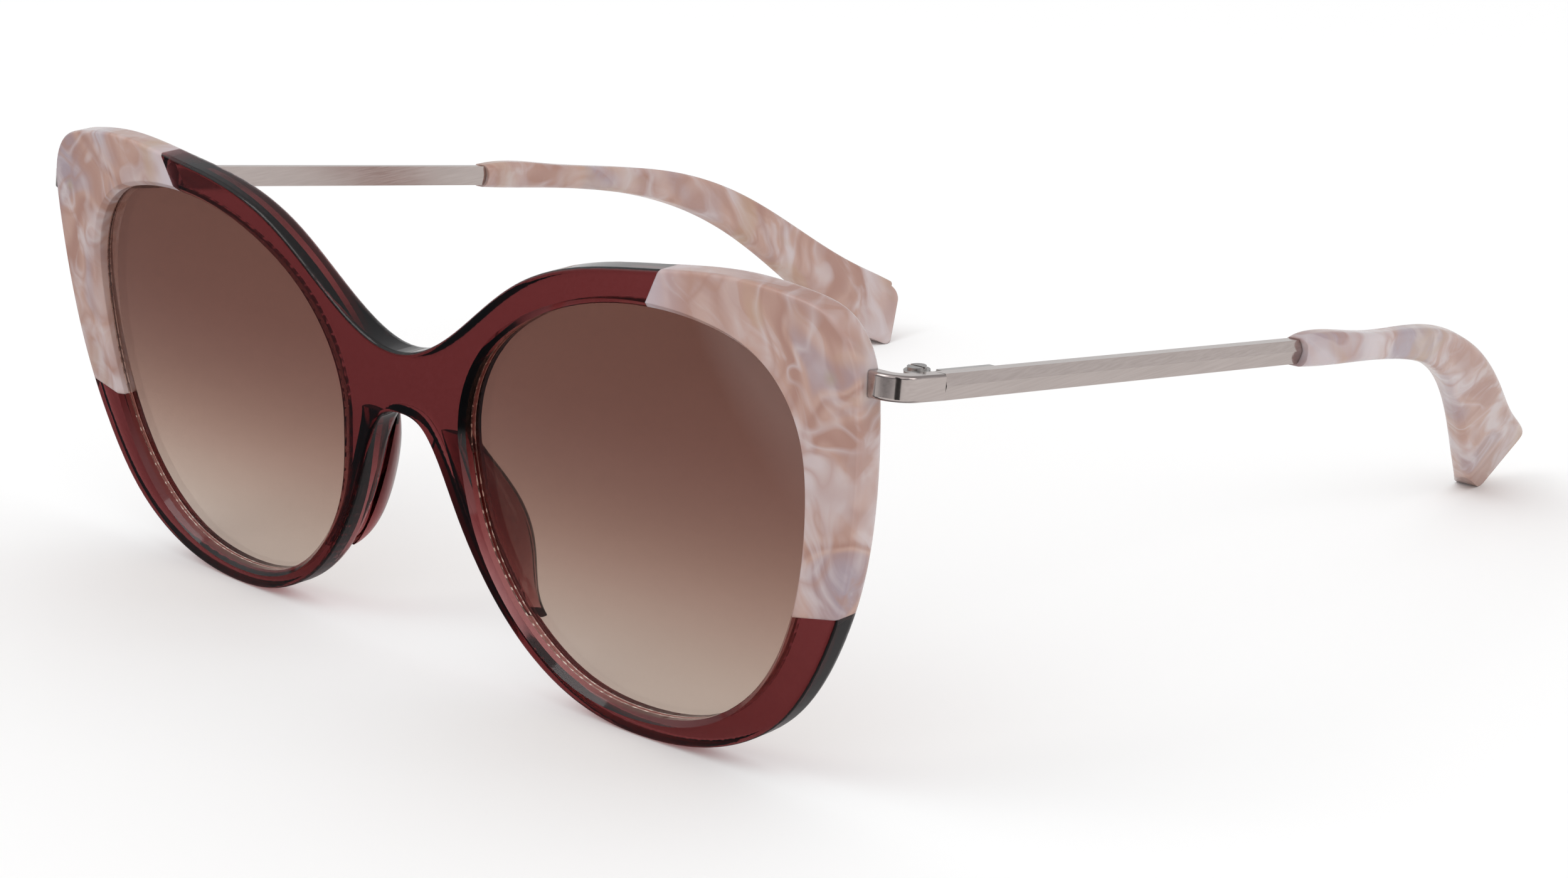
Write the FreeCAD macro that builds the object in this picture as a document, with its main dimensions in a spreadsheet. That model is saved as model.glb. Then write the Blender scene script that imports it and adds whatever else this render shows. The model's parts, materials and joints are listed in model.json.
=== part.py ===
"""Cat eye sunglasses with metal temples, as separate solids. Millimetres and degrees.

Everything is drawn in the wearer's frame: +X to the wearer's left, +Y back along the temples, +Z up, with
the origin on the front of the bridge and the temples level. Each sub-part is then placed standing on a
table, on the two rim bottoms and the two temple tips, with the origin under the middle of the whole.
"""
import FreeCAD, Part
import math
import os
import re

from FreeCAD import Placement, Rotation, Vector

SIZES = {
    # acetate front: a bent sheet, thinner towards its sides, leaning back at the foot
    "front_thick": 3.8,
    "front_bend": 1200.0,
    "back_bend": 1440.0,
    "front_lean": 10.4,
    "front_edge": 0.45,
    "back_edge": 1.1,
    "bevel": 0.6,
    # lenses
    "lens_bend": 220.0,
    "lens_thick": 1.7,
    "lens_depth": 0.1,
    "groove_deep": 0.6,
    "groove_front": 0.5,
    "groove_wide": 0.8,
    # metal: end pieces and temple bars share one strip section
    "strip_thick": 1.7,
    "strip_tall": 2.6,
    "strip_foot": 10.45,
    "ridge": 0.3,
    "ridge_rise": 0.55,
    "side_face": 74.0,
    "turn": 3.0,
    "tongue_back": 1.1,
    "tongue_end": 64.5,
    "tongue_tall": 1.8,
    "tongue_thick": 1.3,
    "tongue_set": 0.2,
    "wall_side": 68.2,
    "strip_ease": 0.35,
    "rivet_wide": 1.4,
    "rivet_side": 66.4,
    "rivet_deep": 2.6,
    # hinge
    "pivot_side": 70.9,
    "pivot_back": 6.9,
    "hinge_lean": 9.36,
    "seam_back": 7.6,
    "seam_gap": 0.06,
    "barrel": 1.3,
    "knuckle": 0.8,
    "knuckle_gap": 0.04,
    "barrel_room": 0.06,
    "leaf_thick": 0.7,
    "leaf_long": 8.0,
    "leaf_inset": 0.3,
    "rear_leaf_inset": 1.1,
    "web_ease": 0.1,
    "screw": 0.5,
    "screw_play": 0.03,
    "screw_head": 0.95,
    "head_tall": 0.35,
    "slot_wide": 0.24,
    "slot_deep": 0.18,
    # temples
    "bar_end": 68.0,
    "bar_toe": 3.0,
    "core": 0.65,
    "core_overlap": 2.0,
    "tip_thick": 3.0,
    "tip_proud": 0.6,
    "tip_corner": 0.9,
    "scoop": 2.4,
    "scoop_lap": 0.3,
    # standing pose
    "stand_lean": 9.36,
    "stand_back": 0.0,
    "stand_up": 0.0,
}

# Half outlines in the plane of the front, from the middle of the bridge: across, up.
RIM_OUTLINE = [
    (0, 2.6), (4.6, 3.4), (9, 5.5), (15.5, 9.9), (22, 13.9), (30, 16.7), (42, 18.5), (54, 19.5),
    (62, 18.9), (66.9, 17.4), (69.2, 14.6), (70, 8.5), (69.4, 1), (67.2, -9.5), (63.3, -18.4), (57.5, -26),
    (49, -30.9), (38, -32.9), (28, -31.9), (19.6, -27.9), (12.4, -20.6), (8.3, -13.5), (5.6, -8),
    (3.2, -5.3), (0, -4.6),
]
APERTURE_OUTLINE = [
    (11, -7.2), (12.2, 0), (16.6, 5.9), (24, 10.5), (32, 13.2), (41, 14.4), (50, 13.8), (57, 11.2),
    (61, 6), (61.8, -2), (60, -12.2), (54.6, -22.6), (46, -28.7), (36.3, -30.5), (26, -29.1),
    (17.4, -23.3), (12.5, -15.4),
]
LENS_CENTRE = (36.4, -8.0)
# The marbled corner block meets the plain acetate along two straight splices.
TOP_SPLICE = ((41.2, 14.4), (43.9, 18.9))
LOWER_SPLICE = ((60.4, -14.0), (65.2, -13.2))
# How far each splice's line runs on past the acetate, in splice lengths, and the far corners that close it.
SPLICE_INWARD, SPLICE_OUTWARD, LOWER_INWARD = -0.6, 2.5, -1.0
WEDGE_FAR = ((90, 30), (90, -9))
WEDGE_NEAR = (52, -10)
# Nose pad, level by level down the front: height, nasal side, lens side, ridge side, ridge depth.
PAD_LEVELS = [
    (-5.8, 5.3, 8.6, 7.2, 0.9),
    (-10.0, 7.0, 9.8, 10.4, 2.8),
    (-15.0, 9.4, 11.6, 13.2, 4.0),
    (-20.5, 12.8, 14.8, 15.0, 3.3),
    (-24.6, 16.4, 18.4, 17.4, 1.2),
]
PAD_ROOT = 0.6
PAD_CROWN = 0.4
PAD_FLANK = 0.6
# Temple tip, station by station along its upper edge and its lower edge: outer face, back, up.
TIP_STATIONS = [
    ((71.0, 67.4, 13.2), (71.0, 67.4, 10.15)),
    ((70.2, 80.0, 13.25), (70.2, 80.0, 10.0)),
    ((68.7, 91.0, 12.95), (68.6, 90.4, 9.4)),
    ((66.9, 101.0, 11.9), (66.3, 99.0, 7.8)),
    ((64.8, 111.5, 8.6), (63.3, 107.5, 4.3)),
    ((61.9, 121.5, 3.4), (59.9, 116.2, -1.8)),
    ((58.6, 130.2, -1.1), (56.2, 124.6, -8.4)),
    ((53.6, 140.6, -8.0), (51.0, 135.0, -17.0)),
]
# Its blunt end in the side view: rear corner, low corner, front of the foot, as back and up.
TIP_END = ((136.5, -4.3), (132.3, -11.9), (125.0, -9.2))
TIP_END_ROUND = (1.6, 1.2)
# The cutting outline's far corners in the side view, clear of the tip, and its run on ahead of the foot.
TIP_END_FAR = ((90, -60), (190, -60), (190, 40))
TIP_END_OVER = (8, 14)
TIP_END_AHEAD = 4

doc = FreeCAD.newDocument("cat_eye_sunglasses")


def fill_sheet():
    sheet = doc.addObject("Spreadsheet::Sheet", "sizes")
    for row, (alias, value) in enumerate(SIZES.items(), start=1):
        sheet.set(f"A{row}", alias)
        sheet.set(f"B{row}", str(value))
        sheet.setAlias(f"B{row}", alias)
    doc.recompute()
    return sheet


sheet = fill_sheet()


def size(alias):
    return float(sheet.get(alias))


def expression(text):
    """Words that name a cell become references to the sheet."""
    return re.sub(r"[a-z_]+", lambda word: "sizes." + word[0] if word[0] in SIZES else word[0], text)


def bound(obj, **sizes):
    for name, text in sizes.items():
        obj.setExpression(name, expression(text))
    return obj


def turned(angle, axis=Vector(1, 0, 0), at=Vector()):
    return Placement(at, Rotation(axis, angle))


def leaning(across=0.0, depth=0.0, up=0.0):
    """A place given in the plane of the front: across, behind its face, and up it."""
    lean = Rotation(Vector(1, 0, 0), size("front_lean"))
    return Placement(lean.multVec(Vector(across, depth, up)), lean)


def box(name, place, **sizes):
    obj = bound(doc.addObject("Part::Box", name), **sizes)
    obj.Placement = place
    return obj


def cylinder(name, place, **sizes):
    obj = bound(doc.addObject("Part::Cylinder", name), **sizes)
    obj.Placement = place
    return obj


def cut(name, base, tool):
    obj = doc.addObject("Part::Cut", name)
    obj.Base, obj.Tool = base, tool
    return obj


def common(name, base, tool):
    obj = doc.addObject("Part::Common", name)
    obj.Base, obj.Tool = base, tool
    return obj


def fuse(name, *shapes):
    obj = doc.addObject("Part::MultiFuse", name)
    obj.Shapes = list(shapes)
    return obj


def mirrored(name, source):
    obj = doc.addObject("Part::Mirroring", name)
    obj.Source = source
    obj.Normal = Vector(1, 0, 0)
    return obj


def closed_curve(points):
    curve = Part.BSplineCurve()
    curve.interpolate(Points=[Vector(across, up, 0) for across, up in points], PeriodicFlag=True)
    return curve


def grown(points, distance):
    """The points of a clockwise outline, moved outwards square to its smooth curve."""
    curve = closed_curve(points)
    moved = []
    for across, up in points:
        along = curve.tangent(curve.parameter(Vector(across, up, 0)))[0]
        moved.append((across - along.y * distance, up + along.x * distance))
    return moved


def smooth_loop(points):
    """A closed smooth curve through the points, in two stretches."""
    curve = closed_curve(points)
    halfway = curve.parameter(Vector(*points[len(points) // 2], 0))
    stretches = []
    for start, end in ((curve.FirstParameter, halfway), (halfway, curve.LastParameter)):
        stretch = curve.copy()
        stretch.segment(start, end)
        stretches.append(stretch)
    return stretches


def straight_loop(points):
    corners = [Vector(across, up, 0) for across, up in points]
    return [Part.LineSegment(a, b) for a, b in zip(corners, corners[1:] + corners[:1])]


def beyond(start, end, times):
    """A point on the line from start to end, past the end when times is over one."""
    return tuple(a + (b - a) * times for a, b in zip(start, end))


def sketch(name, geometry, place):
    obj = doc.addObject("Sketcher::SketchObject", name)
    obj.addGeometry(geometry, False)
    obj.Placement = place
    return obj


def extrusion(name, base, direction, forward, backward="0"):
    obj = doc.addObject("Part::Extrusion", name)
    obj.Base = base
    obj.DirMode = "Custom"
    obj.Dir = direction
    obj.Solid = True
    return bound(obj, LengthFwd=forward, LengthRev=backward)


def edges_where(obj, test):
    return [index for index, edge in enumerate(obj.Shape.Edges, start=1) if test(edge)]


def rounded(name, base, radius, test, kind="Part::Fillet"):
    obj = doc.addObject(kind, name)
    obj.Base = base
    obj.Edges = [(index, radius, radius) for index in edges_where(base, test)]
    return obj


# ---------------------------------------------------------------- acetate front

FACE = turned(90 + size("front_lean"))
INTO_FRONT = FACE.Rotation.multVec(Vector(0, 0, -1))
REACH = 90.0
AHEAD = "25"
BEHIND = "15"


def bent_cylinder(name, depth, radius_cell):
    """The solid behind a face bent about an axis parallel to the front."""
    place = leaning(0, depth + size(radius_cell), -REACH / 2)
    return cylinder(name, place, Radius=radius_cell, Height=str(REACH))


def through_front(name, geometry):
    flat = sketch(name + "_sketch", geometry, FACE)
    return extrusion(name, flat, INTO_FRONT, AHEAD, BEHIND)


def depth_in_front(point):
    """Distance behind the front's face, along the lean."""
    local = leaning().inverse().multVec(point)
    return local.y - local.x ** 2 / (2 * size("front_bend"))


def sheet_thickness(across):
    return size("front_thick") - across ** 2 / 2 * (1 / size("front_bend") - 1 / size("back_bend"))


def on_face(edge):
    return all(abs(depth_in_front(vertex.Point)) < 0.1 for vertex in edge.Vertexes)


def on_back(edge):
    return all(abs(depth_in_front(v.Point) - sheet_thickness(v.X)) < 0.1 for v in edge.Vertexes)


def front_blank():
    half = RIM_OUTLINE
    whole = half + [(-across, up) for across, up in reversed(half[1:-1])]
    outline = through_front("rim_outline", smooth_loop(whole))
    face = bent_cylinder("face_bend", 0.0, "front_bend")
    back = bent_cylinder("back_face_bend", size("front_thick"), "back_bend")
    blank = common("front_blank", outline, cut("front_sheet", face, back))
    doc.recompute()
    soft = rounded("front_soft_back", blank, size("back_edge"), on_back)
    doc.recompute()
    eased = rounded("front_eased", soft, size("front_edge"), on_face)
    doc.recompute()
    return eased, back


def lens_shell(name, depth, thick_cell):
    """A spherical shell square to the front at the middle of the lens."""
    across, up = LENS_CENTRE
    toe = math.degrees(across / size("front_bend"))
    middle = leaning(across, across ** 2 / (2 * size("front_bend")) + depth, up)
    middle = middle * Placement(Vector(), Rotation(Vector(0, 0, 1), toe))
    balls = []
    for side, radius in (("face", "lens_bend"), ("back", f"lens_bend - {thick_cell}")):
        ball = bound(doc.addObject("Part::Sphere", f"{name}_{side}"), Radius=radius)
        ball.Placement = Placement(middle.multVec(Vector(0, size("lens_bend"), 0)), Rotation())
        balls.append(ball)
    return cut(name, *balls)


def lens_left():
    aperture = through_front("aperture", smooth_loop(APERTURE_OUTLINE))
    flange = through_front("flange", smooth_loop(grown(APERTURE_OUTLINE, size("groove_deep"))))
    body = common("lens_body", aperture, lens_shell("lens_shell", size("lens_depth"), "lens_thick"))
    groove_depth = size("lens_depth") + size("groove_front")
    tongue = common("lens_tongue", flange, lens_shell("tongue_shell", groove_depth, "groove_wide"))
    return aperture, fuse("lens", body, tongue)


def splice_wedge():
    """Everything outboard of the two splices."""
    (top_in, top_out), (low_in, low_out) = TOP_SPLICE, LOWER_SPLICE
    corners = [beyond(top_in, top_out, SPLICE_INWARD), beyond(top_in, top_out, SPLICE_OUTWARD), *WEDGE_FAR,
               beyond(low_in, low_out, LOWER_INWARD), WEDGE_NEAR]
    return through_front("splice_wedge", straight_loop(corners))


def nose_pad_left(back):
    """A fin glued behind the nasal rim, flaring towards the lens."""
    sections = []
    behind = size("front_thick")
    for number, (up, nasal, lens_side, ridge, deep) in enumerate(PAD_LEVELS, start=1):
        flank = max(lens_side, ridge) + PAD_ROOT
        loop = smooth_loop([(nasal, behind - PAD_ROOT), (lens_side, behind - PAD_ROOT),
                            (flank, behind + deep * PAD_FLANK), (ridge - PAD_CROWN, behind + deep)])
        sections.append(sketch(f"pad_level_{number}", loop, leaning(0, 0, up)))
    loft = doc.addObject("Part::Loft", "pad_loft")
    loft.Sections = sections
    loft.Solid = True
    return common("nose_pad", loft, back)


# ---------------------------------------------------------------- metal end pieces and hinges

STRIP_MIDDLE = size("strip_foot") + size("strip_tall") / 2
TURN_CENTRE = Vector(size("side_face") - size("turn"), size("tongue_back") + size("turn"), 0)


def turn_arc(radius):
    """A quarter of the end piece's bend, from its front round to its side."""
    slant = math.sqrt(0.5) * radius
    through = [Vector(0, -radius, 0), Vector(slant, -slant, 0), Vector(radius, 0, 0)]
    return Part.Arc(*[TURN_CENTRE + point for point in through])


def endpiece_left():
    """A strip that leaves the acetate sideways and turns back to the seam, with a tongue in a pocket."""
    outer, thick, wall = size("side_face"), size("strip_thick"), size("wall_side")
    ahead, seam = size("tongue_back"), size("seam_back") - size("seam_gap") / 2
    arm = [(outer, TURN_CENTRE.y), (outer, seam), (outer - thick, seam), (outer - thick, TURN_CENTRE.y)]
    foot = [(TURN_CENTRE.x, ahead + thick), (wall, ahead + thick), (wall, ahead), (TURN_CENTRE.x, ahead)]
    lines = []
    for run in (arm, foot):
        corners = [Vector(*corner, 0) for corner in run]
        lines += [Part.LineSegment(a, b) for a, b in zip(corners, corners[1:])]
    arcs = [turn_arc(size("turn")), turn_arc(size("turn") - thick)]
    plan = sketch("endpiece_plan", lines + arcs, Placement(Vector(0, 0, size("strip_foot")), Rotation()))
    strip = extrusion("endpiece_strip", plan, Vector(0, 0, 1), "strip_tall")
    doc.recompute()
    eased = rounded("endpiece_eased", strip, size("strip_ease"), runs_along_outside)
    tongue_foot = STRIP_MIDDLE - size("tongue_tall") / 2
    tongue_at = Vector(size("tongue_end"), ahead + size("tongue_set"), tongue_foot)
    tongue = box("endpiece_tongue", Placement(tongue_at, Rotation()), Length="wall_side - tongue_end",
                 Width="tongue_thick", Height="tongue_tall")
    return fuse("endpiece", eased, tongue)


def runs_along_outside(edge):
    """Long upper and lower edges of the strip's outer side."""
    middle = edge.valueAt((edge.FirstParameter + edge.LastParameter) / 2)
    centre = Vector(TURN_CENTRE.x, TURN_CENTRE.y, middle.z)
    level = edge.BoundBox.ZLength < 0.01
    on_side = middle.x > size("side_face") - 0.01
    on_front = abs(middle.y - size("tongue_back")) < 0.01
    on_turn = abs((middle - centre).Length - size("turn")) < 0.01 and middle.y < centre.y
    return level and (on_side or on_front or on_turn)


def rivet_left():
    """Holds the tongue from behind, blind in the acetate."""
    deep = size("rivet_deep")
    lean = leaning().Rotation
    into = lean.multVec(Vector(0, 1, 0))
    up = (STRIP_MIDDLE - into.z * deep) / lean.multVec(Vector(0, 0, 1)).z
    foot = leaning(size("rivet_side"), deep, up).Base
    return cylinder("rivet", Placement(foot, Rotation(Vector(0, 0, 1), into)), Radius="rivet_wide / 2",
                    Height="rivet_deep")


def on_pin(side=0.0, back=0.0, up=0.0):
    """A place by the hinge pin, whose axis leans and passes the strip's middle at height zero."""
    middle = Vector(size("pivot_side"), size("pivot_back"), STRIP_MIDDLE)
    return turned(size("hinge_lean"), at=middle) * Placement(Vector(side, back, up), Rotation())


HALF_TALL = size("strip_tall") / 2
HINGE_WALL = size("side_face") - size("strip_thick")


def screw_hole(name, radius):
    return cylinder(name, on_pin(up=-2 * HALF_TALL), Radius=radius, Height="2 * strip_tall")


def hinge_front_left():
    """Two knuckles on a short leaf, soldered inside the end piece."""
    leaf_front = TURN_CENTRE.y + size("tongue_set")
    lower = cylinder("front_lower_barrel", on_pin(up=-HALF_TALL), Radius="barrel", Height="knuckle")
    upper_foot = HALF_TALL - size("knuckle")
    upper = cylinder("front_upper_barrel", on_pin(up=upper_foot), Radius="barrel", Height="knuckle")
    leaf_at = Vector(HINGE_WALL - size("leaf_thick"), leaf_front, size("strip_foot"))
    leaf = box("front_leaf", Placement(leaf_at, Rotation()), Length="leaf_thick",
               Width=f"seam_back - leaf_inset - {leaf_front}", Height="strip_tall")
    web = box("front_web", on_pin(back=-size("barrel"), up=-HALF_TALL),
              Length="side_face - strip_thick - pivot_side", Width="barrel", Height="strip_tall")
    room = cylinder("front_room", on_pin(up=size("knuckle") - HALF_TALL), Radius="barrel + barrel_room",
                    Height="strip_tall - 2 * knuckle")
    relieved = cut("front_leaf_relieved", fuse("front_hinge_solid", lower, upper, leaf, web), room)
    return cut("hinge_front", relieved, screw_hole("front_bore", "screw"))


def hinge_screw_left():
    shank = cylinder("screw_shank", on_pin(up=-HALF_TALL), Radius="screw", Height="strip_tall")
    head = cylinder("screw_head_disc", on_pin(up=HALF_TALL), Radius="screw_head", Height="head_tall")
    slot_foot = HALF_TALL + size("head_tall") - size("slot_deep")
    slot = box("screw_slot", on_pin(-size("barrel"), -size("slot_wide") / 2, slot_foot), Length="2 * barrel",
               Width="slot_wide", Height="head_tall")
    return cut("hinge_screw", fuse("screw_solid", shank, head), slot)


# ---------------------------------------------------------------- temples

# Where a cut across a temple starts, and how far it goes.
ACROSS_FROM = 30
ACROSS = "60"


def toed_in(side=0.0, along=0.0, up=0.0):
    """A place on the temple bar: outward from its inner face, along it from the seam, and up."""
    start = Vector(HINGE_WALL, size("seam_back") + size("seam_gap") / 2, 0)
    toe = Rotation(Vector(0, 0, 1), size("bar_toe"))
    return Placement(start + toe.multVec(Vector(side, along, up)), toe)


def tip_frames():
    """Middle, height and rotation of each station of the tip."""
    middles = []
    rises = []
    for upper, lower in TIP_STATIONS:
        middles.append((Vector(*upper) + Vector(*lower)) / 2)
        rises.append(Vector(*upper) - Vector(*lower))
    frames = []
    for number, (middle, rise) in enumerate(zip(middles, rises)):
        if number == 0:
            outward = toed_in().Rotation.multVec(Vector(1, 0, 0))
            along = toed_in().Rotation.multVec(Vector(0, 1, 0))
        else:
            along = (middles[min(number + 1, len(middles) - 1)] - middles[number - 1]).normalize()
            outward = along.cross(rise).normalize()
        turn = Rotation(outward, outward.cross(along), along, "XYZ")
        inset = outward * (size("tip_proud") - size("tip_thick") / 2)
        frames.append((middle + inset, rise.Length, turn))
    return frames


def rounded_rectangle(wide, tall, corner):
    """Four sides and four corner arcs about the origin."""
    half_wide, half_tall = wide / 2, tall / 2
    bend = corner * (1 - math.sqrt(0.5))
    corners = []
    for across, up in ((1, 1), (-1, 1), (-1, -1), (1, -1)):
        side = Vector(across * half_wide, up * (half_tall - corner), 0)
        middle = Vector(across * (half_wide - bend), up * (half_tall - bend), 0)
        cap = Vector(across * (half_wide - corner), up * half_tall, 0)
        corners.append((side, middle, cap) if across * up > 0 else (cap, middle, side))
    geometry = []
    for (start, middle, end), (next_start, _middle, _end) in zip(corners, corners[1:] + corners[:1]):
        geometry += [Part.Arc(start, middle, end), Part.LineSegment(end, next_start)]
    return geometry


def tip_loft():
    sections = []
    for number, (middle, tall, turn) in enumerate(tip_frames(), start=1):
        shape = rounded_rectangle(size("tip_thick"), tall, size("tip_corner"))
        sections.append(sketch(f"tip_station_{number}", shape, Placement(middle, turn)))
    loft = doc.addObject("Part::Loft", "tip_loft")
    loft.Sections = sections
    loft.Solid = True
    return loft


def core_wire():
    """The bar's drawn-down end, a round core along the middle of the tip."""
    middles = [middle for middle, _tall, _turn in tip_frames()[:6]]
    middles[0] = middles[0] - Vector(0, size("core_overlap"), 0)
    path = Part.BSplineCurve()
    path.interpolate(middles)
    route = doc.addObject("Part::Feature", "core_route")
    route.Shape = Part.Wire([path.toShape()])
    ring = doc.addObject("Part::Circle", "core_ring")
    bound(ring, Radius="core")
    start = path.tangent(path.FirstParameter)[0]
    ring.Placement = Placement(middles[0], Rotation(Vector(0, 0, 1), start))
    sweep = doc.addObject("Part::Sweep", "core_sweep")
    sweep.Sections = [ring]
    sweep.Spine = (route, ["Edge1"])
    sweep.Solid = True
    sweep.Frenet = False
    return sweep


def temple_bar_left(core):
    """A flat strip with a low ridge along its outer face, running into the core."""
    thick, tall, ridge = size("strip_thick"), size("strip_tall"), size("ridge")
    section = straight_loop([(0, 0), (thick - ridge, 0), (thick, tall * size("ridge_rise")),
                             (thick - ridge, tall), (0, tall)])
    place = toed_in(0, 0, size("strip_foot")) * turned(90)
    flat = sketch("bar_section", section, place)
    strip = extrusion("bar_strip", flat, place.Rotation.multVec(Vector(0, 0, -1)), "bar_end - seam_back")
    return fuse("temple_bar", strip, core)


def side_prism(name, outline):
    """A prism across the temple from an outline in the side view: back, up."""
    place = Placement(Vector(ACROSS_FROM, 0, 0), Rotation(Vector(0, 1, 0), Vector(0, 0, 1), Vector(1, 0, 0), "XYZ"))
    return extrusion(name, sketch(name + "_sketch", outline, place), Vector(1, 0, 0), ACROSS)


def rounded_corner(before, corner, after, radius):
    """The two ends and the middle of an arc that rounds a corner, as flat points."""
    before, corner, after = Vector(*before, 0), Vector(*corner, 0), Vector(*after, 0)
    back, on = (before - corner).normalize(), (after - corner).normalize()
    half = back.getAngle(on) / 2
    reach = radius / math.tan(half)
    centre = corner + (back + on).normalize() * (radius / math.sin(half))
    middle = centre + (corner - centre).normalize() * radius
    return corner + back * reach, middle, corner + on * reach


def tip_end():
    """Everything past the tip's blunt end, whose two corners are rounded."""
    rear, low, front = TIP_END
    rear_round, low_round = TIP_END_ROUND
    upper, lower = (station[0][1:] for station in TIP_STATIONS[-2:])
    slope = tuple(b - a for a, b in zip(lower, upper))
    over = (rear[0] + slope[0], rear[1] + slope[1])
    top_end, top_middle, top_start = rounded_corner(low, rear, over, rear_round)
    low_end, low_middle, low_start = rounded_corner(front, low, rear, low_round)
    ahead = Vector(*beyond(low, front, TIP_END_AHEAD), 0)
    far = [Vector(*corner, 0) for corner in TIP_END_FAR]
    corners = [ahead, *far, top_start + Vector(*TIP_END_OVER, 0)]
    lines = [Part.LineSegment(a, b) for a, b in zip(corners, corners[1:] + [top_start])]
    lines += [Part.LineSegment(top_end, low_start), Part.LineSegment(low_end, ahead)]
    return lines + [Part.Arc(top_start, top_middle, top_end), Part.Arc(low_start, low_middle, low_end)]


def temple_tip_left(bar):
    """Lofted acetate tip over the bar's end: scooped at its mouth, cut to a blunt point at its end."""
    blunt = cut("tip_blunt", tip_loft(), side_prism("tip_end", tip_end()))
    scoop_at = Vector(ACROSS_FROM, size("bar_end") - size("scoop_lap") - size("scoop"), STRIP_MIDDLE)
    scoop = cylinder("tip_scoop", turned(90, Vector(0, 1, 0), scoop_at), Radius="scoop", Height=ACROSS)
    return cut("temple_tip", cut("tip_scooped", blunt, scoop), bar)


def hinge_rear_left():
    """One knuckle on a leaf soldered inside the temple bar."""
    foot = size("knuckle") + size("knuckle_gap") - HALF_TALL
    tall = "strip_tall - 2 * knuckle - 2 * knuckle_gap"
    barrel = cylinder("rear_barrel", on_pin(up=foot), Radius="barrel", Height=tall)
    web = box("rear_web", on_pin(up=foot), Length="barrel - web_ease", Width="2 * barrel", Height=tall)
    leaf_at = toed_in(-size("leaf_thick"), size("rear_leaf_inset"), size("strip_foot"))
    leaf = box("rear_leaf", leaf_at, Length="leaf_thick", Width="leaf_long", Height="strip_tall")
    solid = fuse("rear_hinge_solid", barrel, web, leaf)
    return cut("hinge_rear", solid, screw_hole("rear_bore", "screw + screw_play"))


# ---------------------------------------------------------------- assembly

def sub_part(label, source):
    """One named sub-part, put in the standing pose."""
    obj = doc.addObject("Part::Compound", label)
    obj.Links = [source]
    obj.Label = label
    obj.Placement = turned(-size("stand_lean"))
    obj.setExpression("Placement.Base.y", expression("stand_back"))
    obj.setExpression("Placement.Base.z", expression("stand_up"))
    return obj


def pair(label, source):
    right = mirrored(label + "_mirror", source)
    return [sub_part(label + "_left", source), sub_part(label + "_right", right)]


def both(name, source):
    return fuse(name, source, mirrored(name + "_mirror", source))


def build():
    eased, back = front_blank()
    aperture, lens = lens_left()
    opened = cut("front_opened", eased, both("apertures", aperture))
    doc.recompute()
    bevelled = rounded("front_bevelled", opened, size("bevel"), aperture_edge, "Part::Chamfer")
    grooved = cut("front_grooved", bevelled, both("lens_seats", lens))
    wedge = splice_wedge()
    endpiece, rivet = endpiece_left(), rivet_left()
    inserts = fuse("corner_inserts", endpiece, rivet)
    corner = cut("corner_pocketed", common("corner_block", grooved, wedge), inserts)
    bar = temple_bar_left(core_wire())
    parts = [sub_part("front_frame", cut("front_plain", grooved, both("wedges", wedge)))]
    parts += pair("corner_block", corner)
    parts += pair("lens", lens)
    parts += pair("nose_pad", nose_pad_left(back))
    parts += pair("endpiece", cut("endpiece_riveted", endpiece, rivet))
    parts += pair("endpiece_rivet", rivet)
    parts += pair("hinge_front", hinge_front_left())
    parts += pair("hinge_screw", hinge_screw_left())
    parts += pair("temple_bar", bar)
    parts += pair("hinge_rear", hinge_rear_left())
    parts += pair("temple_tip", temple_tip_left(bar))
    doc.recompute()
    return parts


def aperture_edge(edge):
    """An edge on the front's face that runs round an aperture."""
    bounds = edge.BoundBox
    return 5 < abs(bounds.Center.x) < 60 and bounds.XLength < 60 and on_face(edge)


STAND_TOLERANCE = 0.02


def stand(parts):
    """Put the origin under the middle of the standing pair, on the surface it touches."""
    surface = [point for part in parts for point in part.Shape.tessellate(STAND_TOLERANCE)[0]]
    depths = [point.y for point in surface]
    sheet.set("stand_back", str(round(-(min(depths) + max(depths)) / 2, 4)))
    sheet.set("stand_up", str(round(-min(point.z for point in surface), 4)))
    doc.recompute()


def check(parts):
    for obj in doc.Objects:
        if "Invalid" in obj.State or "Error" in obj.State:
            raise RuntimeError(f"{obj.Name} failed: {obj.State}")
    for part in parts:
        if part.Shape.isNull() or not part.Shape.isValid() or not part.Shape.Solids:
            raise RuntimeError(f"{part.Label} has no valid shape")
        print(f"{part.Label:24s} solids {len(part.Shape.Solids)} volume {part.Shape.Volume:9.2f}")


def write(parts):
    os.makedirs("parts", exist_ok=True)
    for part in parts:
        part.Shape.exportStep(f"parts/{part.Label}.step")


parts = build()
stand(parts)
check(parts)
write(parts)
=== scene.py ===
"""Looks for the cat eye sunglasses: materials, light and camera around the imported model. Metres."""
import json
import math

import bpy
from mathutils import Matrix, Vector


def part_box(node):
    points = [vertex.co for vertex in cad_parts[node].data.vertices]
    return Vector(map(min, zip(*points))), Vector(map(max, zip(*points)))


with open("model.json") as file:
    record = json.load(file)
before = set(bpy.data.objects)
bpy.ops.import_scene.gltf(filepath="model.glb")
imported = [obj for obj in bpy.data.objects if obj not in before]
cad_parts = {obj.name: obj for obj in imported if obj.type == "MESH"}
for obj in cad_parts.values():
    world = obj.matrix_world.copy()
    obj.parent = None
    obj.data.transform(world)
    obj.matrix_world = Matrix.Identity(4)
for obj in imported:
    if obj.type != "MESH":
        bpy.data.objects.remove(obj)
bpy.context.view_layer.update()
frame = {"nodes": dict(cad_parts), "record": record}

MM = 0.001


def link(name, data):
    """An object with that data, linked to the scene."""
    made = bpy.data.objects.new(name, data)
    bpy.context.scene.collection.objects.link(made)
    return made


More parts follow.
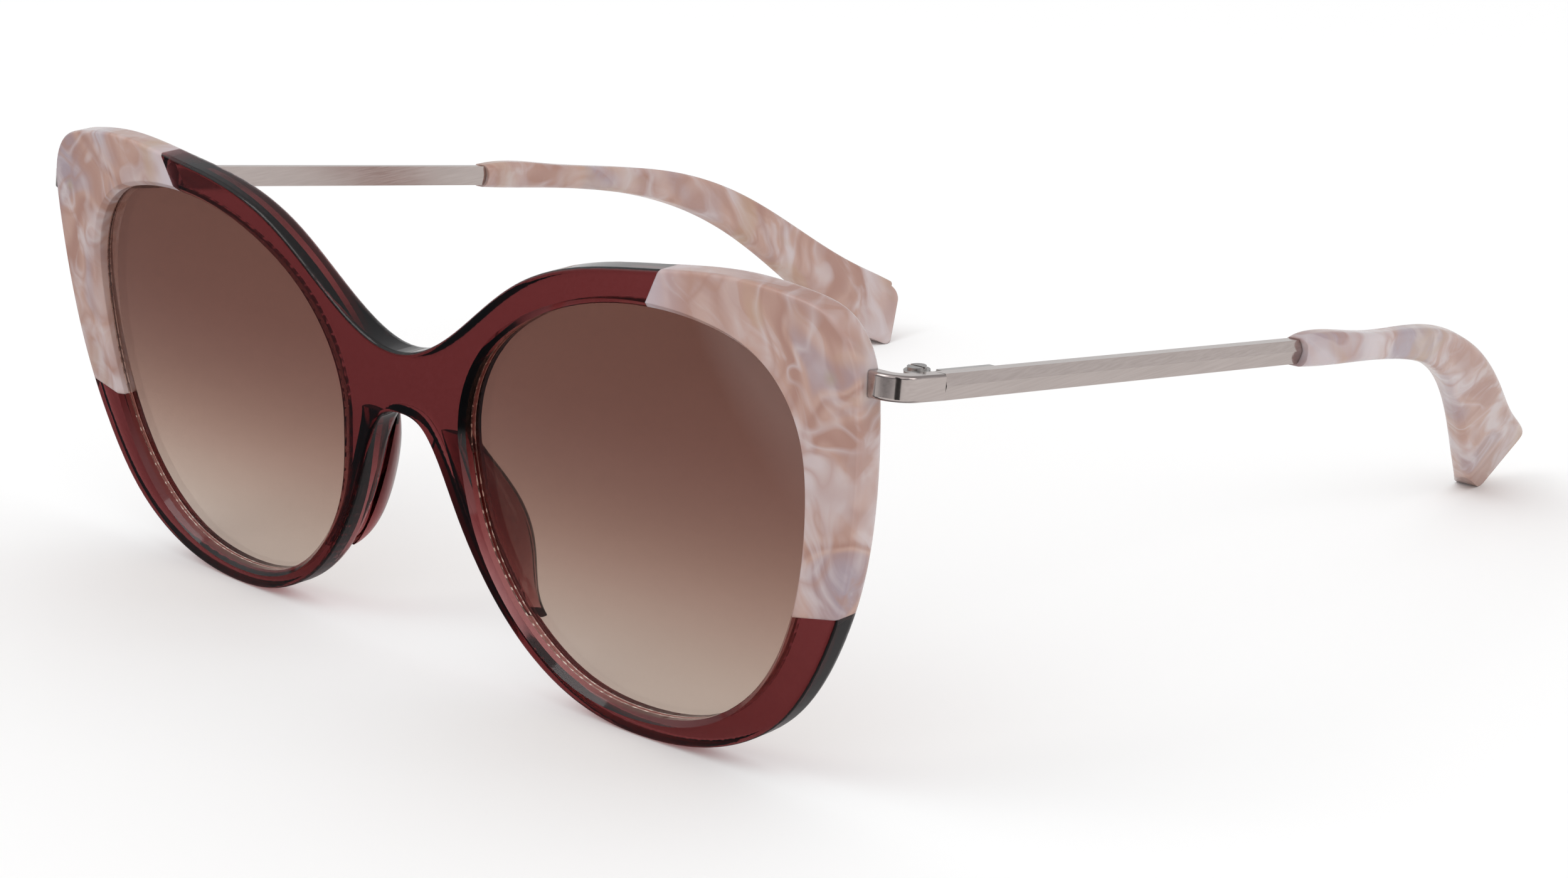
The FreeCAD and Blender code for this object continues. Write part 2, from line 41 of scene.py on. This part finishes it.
# ---------------------------------------------------------------- camera

CAMERA_AT = Vector((275.6, -269.7, 128.8)) * MM
CAMERA_AZIMUTH = 46.58
CAMERA_ELEVATION = 17.14
CAMERA_ROLL = -1.74
CAMERA_LENS = 74.06
CAMERA_SENSOR = 36.0
CAMERA_SHIFT = (0.002, 0.0007)
CAMERA_CLIP = (0.01, 20.0)


def make_camera():
    data = bpy.data.cameras.new("camera")
    data.lens = CAMERA_LENS
    data.sensor_width = CAMERA_SENSOR
    data.shift_x, data.shift_y = CAMERA_SHIFT
    data.clip_start, data.clip_end = CAMERA_CLIP
    camera = link("camera", data)
    azimuth, elevation = math.radians(CAMERA_AZIMUTH), math.radians(CAMERA_ELEVATION)
    level = math.cos(elevation)
    back = Vector((math.sin(azimuth) * level, -math.cos(azimuth) * level, math.sin(elevation)))
    right = Vector((math.cos(azimuth), math.sin(azimuth), 0.0))
    up = back.cross(right)
    turn = Matrix((right, up, back)).transposed().to_4x4()
    roll = Matrix.Rotation(math.radians(CAMERA_ROLL), 4, "Z")
    camera.matrix_world = Matrix.Translation(CAMERA_AT) @ turn @ roll
    bpy.context.scene.camera = camera


# ---------------------------------------------------------------- node helpers

def new_material(name):
    """A material with one Principled shader, and its tree and shader."""
    material = bpy.data.materials.new(name)
    material.use_nodes = True
    tree = material.node_tree
    return material, tree, tree.nodes["Principled BSDF"]


def node(tree, kind, inputs=None, **settings):
    """A node of that kind; inputs that are sockets are linked, others are set."""
    made = tree.nodes.new(kind)
    for name, value in settings.items():
        setattr(made, name, value)
    for name, value in (inputs or {}).items():
        if isinstance(value, bpy.types.NodeSocket):
            tree.links.new(value, made.inputs[name])
        else:
            made.inputs[name].default_value = value
    return made


def ramp(tree, factor, stops, interpolation="LINEAR"):
    """Colours along a factor: pairs of position and colour."""
    made = node(tree, "ShaderNodeValToRGB", {"Fac": factor})
    made.color_ramp.interpolation = interpolation
    elements = made.color_ramp.elements
    while len(elements) < len(stops):
        elements.new(0.5)
    for element, (position, colour) in zip(elements, stops):
        element.position = position
        element.color = (*colour, 1.0)
    return made.outputs["Color"]


def mix(tree, factor, first, second):
    """The first colour going over to the second as the factor goes from 0 to 1."""
    made = tree.nodes.new("ShaderNodeMix")
    made.data_type = "RGBA"
    for socket, value in ((made.inputs[0], factor), (made.inputs[6], first), (made.inputs[7], second)):
        if isinstance(value, bpy.types.NodeSocket):
            tree.links.new(value, socket)
        elif isinstance(value, tuple):
            socket.default_value = (*value, 1.0)
        else:
            socket.default_value = value
    return made.outputs[2]


def maths(tree, operation, first, second=0.0, clamp=False):
    """One sum on two numbers, either of which may be a socket."""
    made = node(tree, "ShaderNodeMath", {0: first, 1: second}, operation=operation, use_clamp=clamp)
    return made.outputs[0]


def vector_maths(tree, operation, first, second):
    """One sum on a vector, with a second vector or, to scale it, a number."""
    made = node(tree, "ShaderNodeVectorMath", {0: first}, operation=operation)
    socket = made.inputs["Scale"] if operation == "SCALE" else made.inputs[1]
    if isinstance(second, bpy.types.NodeSocket):
        tree.links.new(second, socket)
    else:
        socket.default_value = second
    return made.outputs[0]


def noise(tree, vector, scale, detail=2.0, distortion=0.0, roughness=0.5):
    """A smooth noise; the scale is in features per metre."""
    return node(tree, "ShaderNodeTexNoise", {"Vector": vector, "Scale": scale, "Detail": detail,
                                             "Roughness": roughness, "Distortion": distortion})


def spread(tree, value, low, high, to_low=0.0, to_high=1.0):
    """The value from low to high, taken to to_low and to_high and held there past them."""
    made = node(tree, "ShaderNodeMapRange", {"Value": value, "From Min": low, "From Max": high,
                                             "To Min": to_low, "To Max": to_high})
    return made.outputs["Result"]


def axis(tree, vector, name):
    """One coordinate of a vector."""
    return node(tree, "ShaderNodeSeparateXYZ", {"Vector": vector}).outputs[name]


def finish(shader, numbers):
    """Sets sockets of a shader by name."""
    for name, value in numbers.items():
        shader.inputs[name].default_value = value


def place(tree):
    """Where a point is on the object, in metres."""
    return node(tree, "ShaderNodeTexCoord").outputs["Object"]


def warped(tree, vector, scale, amount):
    """Coordinates pushed about by a smooth noise."""
    push = noise(tree, vector, scale, 2.0).outputs["Color"]
    centred = vector_maths(tree, "SUBTRACT", push, (0.5, 0.5, 0.5))
    return vector_maths(tree, "ADD", vector, vector_maths(tree, "SCALE", centred, amount))


def light_shadow(tree, shader, tint):
    """Lets lamp light through a clear piece, tinted, so that its shadow is a pale one."""
    path = node(tree, "ShaderNodeLightPath")
    through = node(tree, "ShaderNodeBsdfTransparent", {"Color": tint})
    blend = node(tree, "ShaderNodeMixShader", {0: path.outputs["Is Shadow Ray"]})
    tree.links.new(shader.outputs[0], blend.inputs[1])
    tree.links.new(through.outputs[0], blend.inputs[2])
    tree.links.new(blend.outputs[0], tree.nodes["Material Output"].inputs["Surface"])


def mirrored_only(tree):
    """One for a ray on its way off a polished face, nothing for one seen straight or through a lens."""
    path = node(tree, "ShaderNodeLightPath")
    straight = maths(tree, "SUBTRACT", 1.0, path.outputs["Is Transmission Ray"])
    return maths(tree, "MULTIPLY", path.outputs["Is Glossy Ray"], straight)


# ---------------------------------------------------------------- acetate, plain

ACETATE_IOR = 1.49
PLAIN_ABSORPTION = (0.46, 0.02, 0.03)
PLAIN_DENSITY = 830.0
PLAIN_SHADOW = (0.95, 0.80, 0.80)


def plain_acetate():
    """Clear burgundy, darker the further light goes through it, with a fine grain in its tint."""
    material, tree, shader = new_material("acetate_burgundy")
    fine = noise(tree, place(tree), 2600.0, 4.0).outputs["Fac"]
    tint = ramp(tree, fine, [(0.35, (0.95, 0.76, 0.76)), (0.65, (1.0, 0.84, 0.84))])
    tree.links.new(tint, shader.inputs["Base Color"])
    finish(shader, {"Transmission Weight": 1.0, "IOR": ACETATE_IOR, "Roughness": 0.06,
                    "Specular IOR Level": 0.3})
    absorb = node(tree, "ShaderNodeVolumeAbsorption", {"Color": (*PLAIN_ABSORPTION, 1.0),
                                                       "Density": PLAIN_DENSITY})
    tree.links.new(absorb.outputs[0], tree.nodes["Material Output"].inputs["Volume"])
    light_shadow(tree, shader, (*PLAIN_SHADOW, 1.0))
    return material


# ---------------------------------------------------------------- acetate, marbled

BLUSH = (0.475, 0.31, 0.26)
ROSE = (0.385, 0.225, 0.185)
LILAC = (0.37, 0.30, 0.33)
PEARL = (0.58, 0.51, 0.52)
OCHRE = (0.45, 0.30, 0.20)
MAUVE = (0.37, 0.26, 0.26)
RIVET_SHADE = (0.36, 0.28, 0.21)
RIVET_REACH, RIVET_STRENGTH = 1.1 * MM, 0.7
SPLICE_PALE = (0.56, 0.50, 0.55)
SPLICE_REACH, SPLICE_STRENGTH = 7 * MM, 0.75
EDGE_SOFTNESS = 0.25 * MM
GRAIN_SLANT = math.radians(38)


def band(tree, value, middle, width):
    """One along a contour of the value, falling to nothing a width away."""
    away = maths(tree, "ABSOLUTE", maths(tree, "SUBTRACT", value, middle))
    return maths(tree, "SUBTRACT", 1.0, maths(tree, "DIVIDE", away, width), clamp=True)


def rivet_halo(tree, where):
    """Rising towards the blind rivets behind the face, which show through it faintly."""
    low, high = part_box("endpiece_rivet_left")
    rivet = (low + high) / 2
    across = maths(tree, "SUBTRACT", maths(tree, "ABSOLUTE", axis(tree, where, "X")), rivet.x)
    up = maths(tree, "SUBTRACT", axis(tree, where, "Z"), rivet.z)
    away = maths(tree, "SQRT", maths(tree, "ADD", maths(tree, "MULTIPLY", across, across),
                                     maths(tree, "MULTIPLY", up, up)))
    return spread(tree, away, 0.0, RIVET_REACH, RIVET_STRENGTH, 0.0)


def splice_glow(tree, where):
    """Rising towards the upper splice, where the block runs out thin over the plain acetate."""
    low, _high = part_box("corner_block_left")
    across = maths(tree, "ABSOLUTE", axis(tree, where, "X"))
    return spread(tree, across, low.x, low.x + SPLICE_REACH, SPLICE_STRENGTH, 0.0)


def pearl_flakes(tree, swirled):
    """A few broad flakes of pearl, brightest at the heart and soft towards the rim."""
    flakes = node(tree, "ShaderNodeTexVoronoi", {"Vector": swirled, "Scale": 88.0, "Smoothness": 0.25},
                  feature="SMOOTH_F1")
    pick = node(tree, "ShaderNodeSeparateColor", {"Color": flakes.outputs["Color"]})
    chosen = ramp(tree, pick.outputs["Red"], [(0.56, (0, 0, 0)), (0.70, (1, 1, 1))])
    heart = ramp(tree, flakes.outputs["Distance"], [(0.15, (0.9, 0.9, 0.9)), (0.75, (0.15, 0.15, 0.15))])
    return maths(tree, "MULTIPLY", chosen, heart)


def marbled_acetate():
    """Pearl in a blush ground: broad clouds of tint, long drawn streaks, folded lines and a few flakes."""
    material, tree, shader = new_material("acetate_marble")
    where = place(tree)
    swirled = warped(tree, where, 48.0, 0.022)
    clouds = noise(tree, swirled, 62.0, 1.0, 0.6).outputs["Fac"]
    ground = ramp(tree, clouds, [(0.28, LILAC), (0.40, BLUSH), (0.50, ROSE), (0.56, BLUSH), (0.64, MAUVE),
                                 (0.74, LILAC)], "EASE")
    slanted = node(tree, "ShaderNodeVectorRotate", {"Vector": warped(tree, where, 70.0, 0.016),
                                                    "Angle": GRAIN_SLANT}, rotation_type="Y_AXIS")
    drawn = vector_maths(tree, "MULTIPLY", slanted.outputs[0], (1.0, 1.0, 0.2))
    streaks = noise(tree, drawn, 230.0, 3.0, 0.4, 0.5).outputs["Fac"]
    pale = ramp(tree, streaks, [(0.48, (0, 0, 0)), (0.66, (0.75, 0.75, 0.75))])
    colour = mix(tree, pale, ground, PEARL)
    dusky = ramp(tree, streaks, [(0.34, (0.6, 0.6, 0.6)), (0.46, (0, 0, 0))])
    colour = mix(tree, dusky, colour, ROSE)
    colour = mix(tree, pearl_flakes(tree, warped(tree, where, 90.0, 0.010)), colour, PEARL)
    folds = noise(tree, swirled, 70.0, 1.0, 1.4).outputs["Fac"]
    patches = noise(tree, where, 160.0, 1.0).outputs["Fac"]
    fading = ramp(tree, patches, [(0.42, (0, 0, 0)), (0.62, (0.5, 0.5, 0.5))])
    colour = mix(tree, maths(tree, "MULTIPLY", band(tree, folds, 0.46, 0.05), fading), colour, PEARL)
    colour = mix(tree, maths(tree, "MULTIPLY", band(tree, folds, 0.56, 0.06), 0.5), colour, ROSE)
    warm = noise(tree, where, 85.0, 2.0, 0.8).outputs["Fac"]
    colour = mix(tree, ramp(tree, warm, [(0.56, (0, 0, 0)), (0.74, (0.7, 0.7, 0.7))]), colour, OCHRE)
    colour = mix(tree, splice_glow(tree, where), colour, SPLICE_PALE)
    colour = mix(tree, rivet_halo(tree, where), colour, RIVET_SHADE)
    tree.links.new(colour, shader.inputs["Base Color"])
    softened = node(tree, "ShaderNodeBevel", {"Radius": EDGE_SOFTNESS}, samples=4)
    tree.links.new(softened.outputs[0], shader.inputs["Normal"])
    finish(shader, {"Roughness": 0.22, "IOR": ACETATE_IOR, "Specular IOR Level": 0.4,
                    "Subsurface Weight": 0.2, "Subsurface Radius": (1.0, 0.7, 0.6),
                    "Subsurface Scale": 1 * MM, "Coat Weight": 0.3, "Coat Roughness": 0.05})
    return material


# ---------------------------------------------------------------- lenses

# Tint by height above the floor, in millimetres.
LENS_GRADIENT = [
    (5.0, (0.62, 0.52, 0.45)), (11.0, (0.52, 0.40, 0.33)), (17.0, (0.39, 0.255, 0.205)),
    (23.0, (0.262, 0.150, 0.117)), (29.0, (0.198, 0.100, 0.079)), (35.0, (0.163, 0.075, 0.058)),
    (45.0, (0.145, 0.064, 0.048)),
]
LENS_SHADOW = (0.93, 0.90, 0.88)


def tinted_lens():
    """Brown at the brow, fading to sand at the cheek."""
    material, tree, shader = new_material("lens_gradient")
    low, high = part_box("lens_left")
    share = spread(tree, axis(tree, place(tree), "Z"), low.z, high.z)
    stops = [((level * MM - low.z) / (high.z - low.z), colour) for level, colour in LENS_GRADIENT]
    tree.links.new(ramp(tree, share, stops, "B_SPLINE"), shader.inputs["Base Color"])
    finish(shader, {"Transmission Weight": 1.0, "IOR": 1.5, "Roughness": 0.0, "Specular IOR Level": 0.35})
    light_shadow(tree, shader, (*LENS_SHADOW, 1.0))
    return material


# ---------------------------------------------------------------- metals

BRUSHING = (1.0, 0.03, 1.0)
BRUSHED_ROUGHNESS = (0.10, 0.18)


def polished_metal():
    """Rose taupe plating, lightly brushed along the temple."""
    material, tree, shader = new_material("metal_rose")
    along = vector_maths(tree, "MULTIPLY", place(tree), BRUSHING)
    grain = noise(tree, along, 5200.0, 3.0).outputs["Fac"]
    tree.links.new(ramp(tree, grain, [(0.3, (0.53, 0.46, 0.435)), (0.7, (0.60, 0.525, 0.50))]),
                   shader.inputs["Base Color"])
    tree.links.new(spread(tree, grain, 0.0, 1.0, *BRUSHED_ROUGHNESS), shader.inputs["Roughness"])
    finish(shader, {"Metallic": 1.0})
    return material


def hinge_metal():
    """Plain nickel, a little duller than the temples."""
    material, tree, shader = new_material("metal_hinge")
    grain = noise(tree, place(tree), 3000.0, 3.0).outputs["Fac"]
    tree.links.new(ramp(tree, grain, [(0.3, (0.50, 0.48, 0.47)), (0.7, (0.62, 0.60, 0.58))]),
                   shader.inputs["Base Color"])
    finish(shader, {"Metallic": 1.0, "Roughness": 0.28})
    return material


# ---------------------------------------------------------------- dressing the nodes

def dress():
    """Gives each node the material of its slot in the record."""
    slots = {
        "acetate_burgundy": plain_acetate(),
        "acetate_marble": marbled_acetate(),
        "lens_tint": tinted_lens(),
        "rose_metal": polished_metal(),
        "hinge_metal": hinge_metal(),
    }
    for part in frame["record"]["subparts"]:
        piece = frame["nodes"][part["node"]]
        piece.data.materials.clear()
        piece.data.materials.append(slots[part["material_slot"]])


# ---------------------------------------------------------------- studio

FLOOR_HALF = 3.0
FLOOR_WHITE = 0.93
WHITE = (1.0, 1.0, 1.0)
# What gloss mirrors: a dark floor ahead of the face, going pale behind it and off to its left.
MIRROR_DARK, MIRROR_PALE = (0.07, 0.07, 0.08), (0.72, 0.72, 0.72)
MIRROR_BACK = (-75 * MM, -25 * MM)
MIRROR_SLANT = (1.0, -0.95, 0.0)
MIRROR_LEFT = (147 * MM, 170 * MM)
SKY_AHEAD, SKY_BEHIND = (0.75, 0.75, 0.76), (0.36, 0.36, 0.37)
SKY_TURN = (-0.2, 0.3)
KEY_AT, KEY_WIDE, KEY_POWER = Vector((-0.5, -0.9, 1.3)), 0.8, 3.0
SIDE_AT, SIDE_WIDE, SIDE_POWER = Vector((1.1, 0.3, 0.7)), 0.5, 1.2
FLAG_BLACK = (0.01, 0.01, 0.01, 1.0)
FLAG_REACH = 0.12
FLAG_HALF = 0.022
FLAG_TALL = 0.25


def soft_box(name, at, wide, power):
    """A square lamp that faces the object."""
    data = bpy.data.lights.new(name, "AREA")
    data.shape = "RECTANGLE"
    data.size, data.size_y = wide, wide
    data.energy = power
    light = link(name, data)
    light.location = at
    light.rotation_mode = "QUATERNION"
    light.rotation_quaternion = (-at).to_track_quat("-Z", "Y")


def panel(name, corners, material):
    """A flat piece of the studio, which isn't part of the object."""
    mesh = bpy.data.meshes.new(name)
    mesh.from_pydata(corners, [], [(0, 1, 2, 3)])
    mesh.materials.append(material)
    made = link(name, mesh)
    return made


def make_floor():
    """A white floor that gloss mirrors as dark ahead of the face, as a black card there would be."""
    material, tree, shader = new_material("floor_white")
    slant = node(tree, "ShaderNodeVectorMath", {0: place(tree), 1: MIRROR_SLANT}, operation="DOT_PRODUCT")
    back = spread(tree, axis(tree, place(tree), "Y"), *MIRROR_BACK)
    left = spread(tree, slant.outputs["Value"], *MIRROR_LEFT)
    mirrored = mix(tree, maths(tree, "MAXIMUM", back, left), MIRROR_DARK, MIRROR_PALE)
    tree.links.new(mix(tree, mirrored_only(tree), (FLOOR_WHITE,) * 3, mirrored), shader.inputs["Base Color"])
    finish(shader, {"Roughness": 0.9, "Specular IOR Level": 0.1})
    half = FLOOR_HALF
    panel("floor", [(-half, -half, 0), (half, -half, 0), (half, half, 0), (-half, half, 0)], material)


def make_flag():
    """A black card before the left end piece, seen only mirrored in its polish."""
    material, _tree, shader = new_material("flag_black")
    finish(shader, {"Base Color": FLAG_BLACK})
    low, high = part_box("endpiece_left")
    corner = Vector((high.x, low.y, 0.0))
    towards = Vector((1.0, -1.0, 0.0)).normalized()
    along = Vector((1.0, 1.0, 0.0)).normalized() * FLAG_HALF
    middle = corner + towards * FLAG_REACH
    rise = Vector((0.0, 0.0, FLAG_TALL))
    near, far = middle - along, middle + along
    flag = panel("flag", [near, far, far + rise, near + rise], material)
    flag.visible_camera = False
    flag.visible_diffuse = False
    flag.visible_shadow = False
    flag.visible_transmission = False


def make_world():
    """Even white to look at; gloss mirrors it as dark low down ahead of the face and grey behind."""
    world = bpy.data.worlds.new("studio")
    world.use_nodes = True
    tree = world.node_tree
    direction = node(tree, "ShaderNodeTexCoord").outputs["Generated"]
    height = axis(tree, direction, "Z")
    ahead = ramp(tree, height, [(0.15, MIRROR_DARK), (0.5, SKY_AHEAD)])
    behind = ramp(tree, height, [(0.0, MIRROR_PALE), (0.5, SKY_BEHIND)])
    mirrored = mix(tree, spread(tree, axis(tree, direction, "Y"), *SKY_TURN), ahead, behind)
    colour = mix(tree, mirrored_only(tree), WHITE, mirrored)
    tree.links.new(colour, tree.nodes["Background"].inputs["Color"])
    tree.nodes["Background"].inputs["Strength"].default_value = 1.0
    bpy.context.scene.world = world


def make_studio():
    make_world()
    make_floor()
    make_flag()
    soft_box("key", KEY_AT, KEY_WIDE, KEY_POWER)
    soft_box("side", SIDE_AT, SIDE_WIDE, SIDE_POWER)
    bpy.context.scene.view_settings.view_transform = "Standard"


make_camera()
dress()
make_studio()
